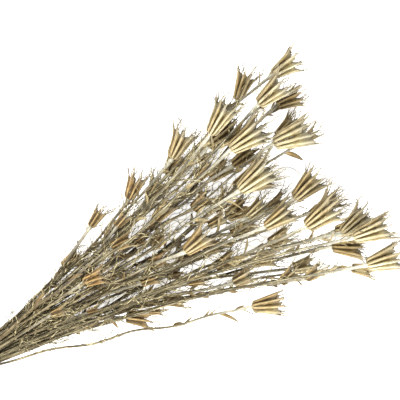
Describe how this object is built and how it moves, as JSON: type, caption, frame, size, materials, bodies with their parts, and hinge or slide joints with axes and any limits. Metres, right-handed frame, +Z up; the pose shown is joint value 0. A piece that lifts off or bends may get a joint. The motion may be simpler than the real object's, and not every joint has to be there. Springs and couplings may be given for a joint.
{
  "type": "dried nigella seed pod bunch",
  "caption": "Tied bunch of dried nigella stems with ribbed, flaring seed pods and thread leaves, lying on its side.",
  "frame": {"origin": "on the surface the bunch lies on, under the middle of its box", "axes": "+X along the bunch from its cut ends to its pods, +Z up from the surface it lies on, +Y across the fan"},
  "size_m": [0.517, 0.2374, 0.0837],
  "materials": {
    "straw_stem": "dry, cream ridges with olive-brown grooves",
    "olive_stem": "dry, olive-grey with pale lines",
    "umber_stem": "dry, orange-tan to brown",
    "twine": "twisted natural fibre"
  },
  "bodies": {
    "root": {"stem_01": "umber_stem", "stem_02": "umber_stem", "stem_03": "umber_stem", "stem_04": "umber_stem", "stem_05": "umber_stem", "stem_06": "umber_stem", "stem_07": "umber_stem", "stem_08": "umber_stem", "stem_09": "umber_stem", "stem_10": "umber_stem", "stem_11": "umber_stem", "stem_12": "olive_stem", "stem_13": "olive_stem", "stem_14": "olive_stem", "stem_15": "olive_stem", "stem_16": "olive_stem", "stem_17": "olive_stem", "stem_18": "olive_stem", "stem_19": "olive_stem", "stem_20": "olive_stem", "stem_21": "olive_stem", "stem_22": "olive_stem", "stem_23": "olive_stem", "stem_24": "olive_stem", "stem_25": "olive_stem", "stem_26": "olive_stem", "stem_27": "straw_stem", "stem_28": "straw_stem", "stem_29": "straw_stem", "stem_30": "straw_stem", "stem_31": "straw_stem", "stem_32": "straw_stem", "stem_33": "straw_stem", "stem_34": "straw_stem", "stem_35": "straw_stem", "stem_36": "straw_stem", "stem_37": "straw_stem", "stem_38": "straw_stem", "stem_39": "straw_stem", "stem_40": "straw_stem", "stem_41": "straw_stem", "stem_42": "straw_stem", "stem_43": "straw_stem", "stem_44": "straw_stem", "twine_tie": "twine"}
  },
  "joints": []
}
